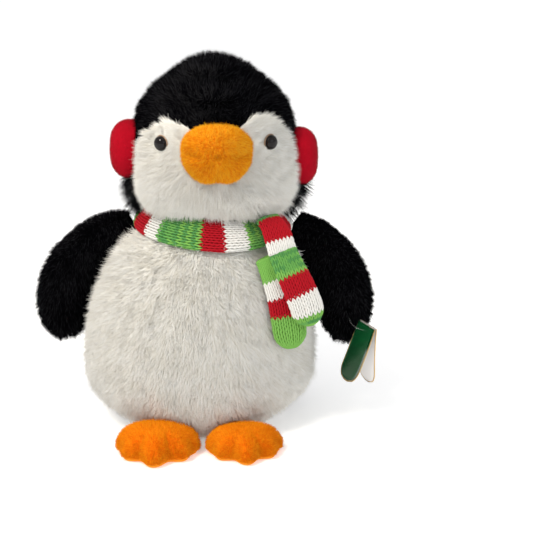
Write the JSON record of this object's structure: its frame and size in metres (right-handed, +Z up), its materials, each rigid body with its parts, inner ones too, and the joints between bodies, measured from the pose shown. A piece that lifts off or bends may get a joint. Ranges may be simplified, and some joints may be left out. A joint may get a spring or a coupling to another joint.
{
  "type": "plush penguin",
  "caption": "Standing stuffed penguin with round earmuffs, a striped knit scarf, hinged wings and feet, a turning head and a folded hang tag.",
  "frame": {"origin": "centre of the flat base that it stands on", "axes": "+Z up, the face looks along -Y, +X to the viewer's right as seen from the front; left and right are as seen from the front"},
  "size_m": [0.2308, 0.1614, 0.2435],
  "materials": {
    "white_pile": "long soft pile",
    "black_pile": "medium pile",
    "orange_pile": "short brushed pile",
    "red_fleece": "short fleece",
    "stuffing": "polyester fibre",
    "pellet_bag": "woven bag of plastic pellets",
    "scarf_knit": "stocking stitch in green, red and white stripes",
    "thread": "sewing thread",
    "label_satin": "satin ribbon",
    "eye_plastic": "polished",
    "washer_plastic": "moulded",
    "fastener_plastic": "clear nylon",
    "tag_green_card": "coated card with a gold edge",
    "tag_white_card": "card"
  },
  "bodies": {
    "torso": {"belly_panel": "white_pile", "back_panel_left": "black_pile", "back_panel_right": "black_pile", "base_panel": "black_pile", "torso_stuffing": "stuffing", "pellet_bag": "pellet_bag", "scarf_band": "scarf_knit", "scarf_cross": "scarf_knit", "scarf_tack": "thread"},
    "neck": {"neck_sleeve": "black_pile", "neck_stuffing": "stuffing"},
    "head": {"face_panel_left": "white_pile", "face_panel_right": "white_pile", "hood_panel_left": "black_pile", "hood_panel_right": "black_pile", "head_stuffing": "stuffing", "beak_upper": "orange_pile", "beak_lower": "orange_pile", "beak_stuffing": "stuffing", "eye_left": "eye_plastic", "eye_right": "eye_plastic", "eye_washer_left": "washer_plastic", "eye_washer_right": "washer_plastic", "earmuff_left": "red_fleece", "earmuff_right": "red_fleece", "earmuff_stuffing_left": "stuffing", "earmuff_stuffing_right": "stuffing"},
    "wing_left": {"wing_left_front": "black_pile", "wing_left_back": "black_pile", "wing_left_stuffing": "stuffing"},
    "wing_right": {"wing_right_front": "black_pile", "wing_right_back": "black_pile", "wing_right_stuffing": "stuffing", "tag_fastener": "fastener_plastic"},
    "foot_left": {"foot_left_top": "orange_pile", "foot_left_sole": "orange_pile", "foot_left_stuffing": "stuffing"},
    "foot_right": {"foot_right_top": "orange_pile", "foot_right_sole": "orange_pile", "foot_right_stuffing": "stuffing"},
    "tail_lower": {"scarf_tail_lower": "scarf_knit"},
    "tail_upper": {"scarf_tail_upper": "scarf_knit"},
    "tag": {"tag_back": "tag_white_card"},
    "tag_front": {"tag_cover": "tag_green_card"},
    "label": {"care_label": "label_satin"}
  },
  "joints": [
    {"name": "head_turn", "type": "hinge", "parent": "torso", "child": "neck", "pos_m": [0.012, 0, 0.148], "axis": [0, 0, 1], "range_deg": [-20, 20], "stiffness_Nm_per_rad": 0.5},
    {"name": "head_nod", "type": "hinge", "parent": "neck", "child": "head", "pos_m": [0.012, 0, 0.148], "axis": [1, 0, 0], "range_deg": [-7, 4], "stiffness_Nm_per_rad": 2},
    {"name": "wing_left_lift", "type": "hinge", "parent": "torso", "child": "wing_left", "pos_m": [-0.05, 0.007, 0.132], "axis": [0, 1, 0], "range_deg": [0, 50]},
    {"name": "wing_right_lift", "type": "hinge", "parent": "torso", "child": "wing_right", "pos_m": [0.063, 0.007, 0.132], "axis": [0, -1, 0], "range_deg": [0, 50]},
    {"name": "foot_left_flex", "type": "hinge", "parent": "torso", "child": "foot_left", "pos_m": [-0.0235, -0.05, 0.006], "axis": [-1, 0, 0], "range_deg": [0, 9], "stiffness_Nm_per_rad": 0.05},
    {"name": "foot_right_flex", "type": "hinge", "parent": "torso", "child": "foot_right", "pos_m": [0.032, -0.05, 0.006], "axis": [-1, 0, 0], "range_deg": [0, 9], "stiffness_Nm_per_rad": 0.05},
    {"name": "scarf_tail_lower_swing", "type": "hinge", "parent": "torso", "child": "tail_lower", "pos_m": [0.053, -0.047, 0.1265], "axis": [-1, 0, 0], "range_deg": [0, 35]},
    {"name": "scarf_tail_upper_swing", "type": "hinge", "parent": "tail_lower", "child": "tail_upper", "pos_m": [0.053, -0.047, 0.1265], "axis": [-1, 0, 0], "range_deg": [0, 8]},
    {"name": "tag_swing", "type": "hinge", "parent": "wing_right", "child": "tag", "pos_m": [0.1153, -0.0105, 0.0625], "axis": [0.9272, 0.3746, 0], "range_deg": [-25, 12]},
    {"name": "tag_open", "type": "hinge", "parent": "tag", "child": "tag_front", "pos_m": [0.1153, -0.0105, 0.0665], "axis": [-0.3746, 0.9272, 0], "range_deg": [-17, 29], "stiffness_Nm_per_rad": 0.002},
    {"name": "label_flip", "type": "hinge", "parent": "torso", "child": "label", "pos_m": [0, 0.0549, 0.024], "axis": [1, 0, 0], "range_deg": [-10, 50], "stiffness_Nm_per_rad": 0.002}
  ]
}
